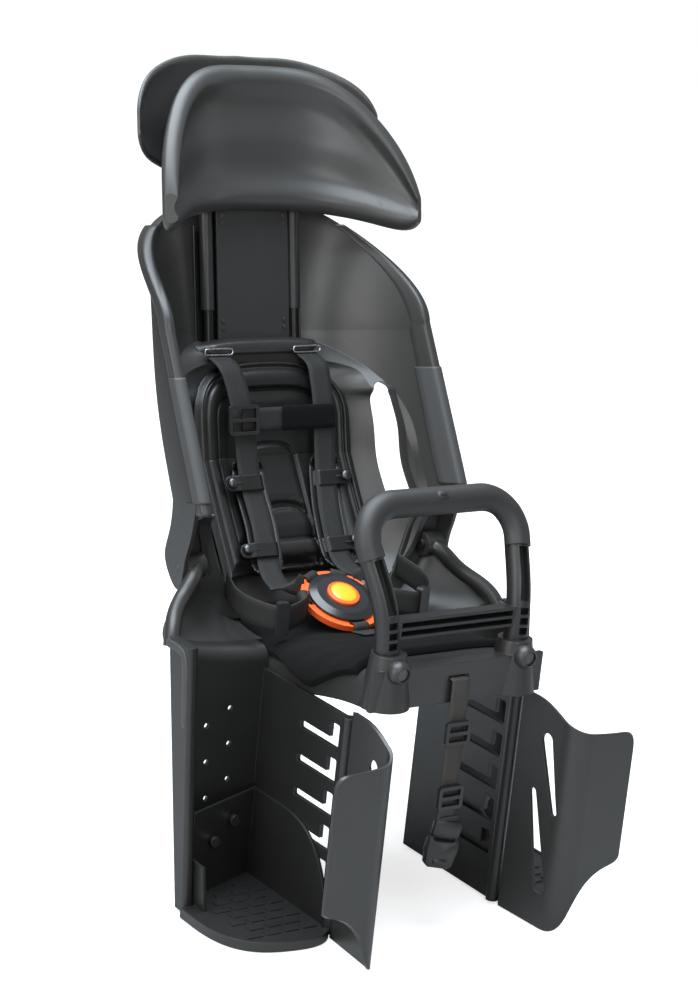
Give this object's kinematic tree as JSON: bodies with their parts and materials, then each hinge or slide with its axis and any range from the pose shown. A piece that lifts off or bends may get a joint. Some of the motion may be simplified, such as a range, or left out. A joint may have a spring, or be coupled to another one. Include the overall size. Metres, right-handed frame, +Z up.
{
  "type": "child bike seat",
  "caption": "Rear child bike seat with winged bucket, sliding headrest, grab bar, leg guards with foot trays, five-point harness with round buckle, and padded back and seat.",
  "frame": {"origin": "centre of the flat carrier face under the seat pan", "axes": "+Z up, front towards -Y, the child's left towards +X, in the mounted attitude"},
  "size_m": [0.398, 0.5135, 0.7301],
  "materials": {
    "shell_plastic": "satin",
    "dark_plastic": "satin",
    "soft_grip": "matt",
    "soft_pad": "matt",
    "plate_metal": "satin",
    "steel": "satin",
    "leather": "satin",
    "felt": "matt",
    "webbing": "matt",
    "orange": "gloss",
    "lid_plastic": "gloss"
  },
  "bodies": {
    "seat": {"back_bolts": "steel", "back_pad": "leather", "backrest_shell": "shell_plastic", "buckle_base": "dark_plastic", "buckle_lid": "lid_plastic", "buckle_tongue_ring": "orange", "chest_slide_buckle": "dark_plastic", "chest_strap": "webbing", "crotch_strap": "webbing", "foot_tray_screws": "steel", "front_buckle": "dark_plastic", "front_strap": "webbing", "front_strap_slides": "dark_plastic", "grab_bar": "dark_plastic", "grab_bar_grip": "soft_grip", "grab_bar_screws": "steel", "height_lock_housing": "dark_plastic", "left_edge_pad": "soft_pad", "left_foot_tray": "shell_plastic", "left_front_guard": "shell_plastic", "left_leg_guard": "shell_plastic", "left_lip_pad": "soft_pad", "left_shoulder_strap": "webbing", "left_shoulder_wrap": "leather", "left_waist_strap": "webbing", "right_edge_pad": "soft_pad", "right_foot_tray": "shell_plastic", "right_front_guard": "shell_plastic", "right_leg_guard": "shell_plastic", "right_lip_pad": "soft_pad", "right_shoulder_strap": "webbing", "right_shoulder_wrap": "leather", "right_waist_strap": "webbing", "seat_base": "shell_plastic", "seat_pad": "felt", "strap_ledge": "dark_plastic", "waist_loops": "dark_plastic", "wrap_studs": "steel", "wrap_tabs": "leather"},
    "headrest": {"headrest_pad": "shell_plastic", "headrest_cover": "shell_plastic", "headrest_screws": "steel", "slide_plate": "plate_metal", "slide_plate_rivets": "steel", "left_post": "steel", "right_post": "steel", "left_post_sleeve": "dark_plastic", "right_post_sleeve": "dark_plastic", "post_clamps": "dark_plastic"},
    "lock_button": {"height_lock_button": "dark_plastic"},
    "release_button": {"buckle_button": "orange"}
  },
  "joints": [
    {"name": "headrest_slide", "type": "slide", "parent": "seat", "child": "headrest", "axis": [0, 0.2011, 0.9796], "range_m": [-0.012, 0.05]},
    {"name": "height_lock_press", "type": "slide", "parent": "seat", "child": "lock_button", "axis": [0, -0.9796, 0.2011], "range_m": [0, 0.004], "stiffness_N_per_m": 800, "springref_m": -0.002},
    {"name": "buckle_press", "type": "slide", "parent": "seat", "child": "release_button", "axis": [0, 0.4067, -0.9135], "range_m": [0, 0.0022], "stiffness_N_per_m": 1200, "springref_m": -0.001}
  ]
}
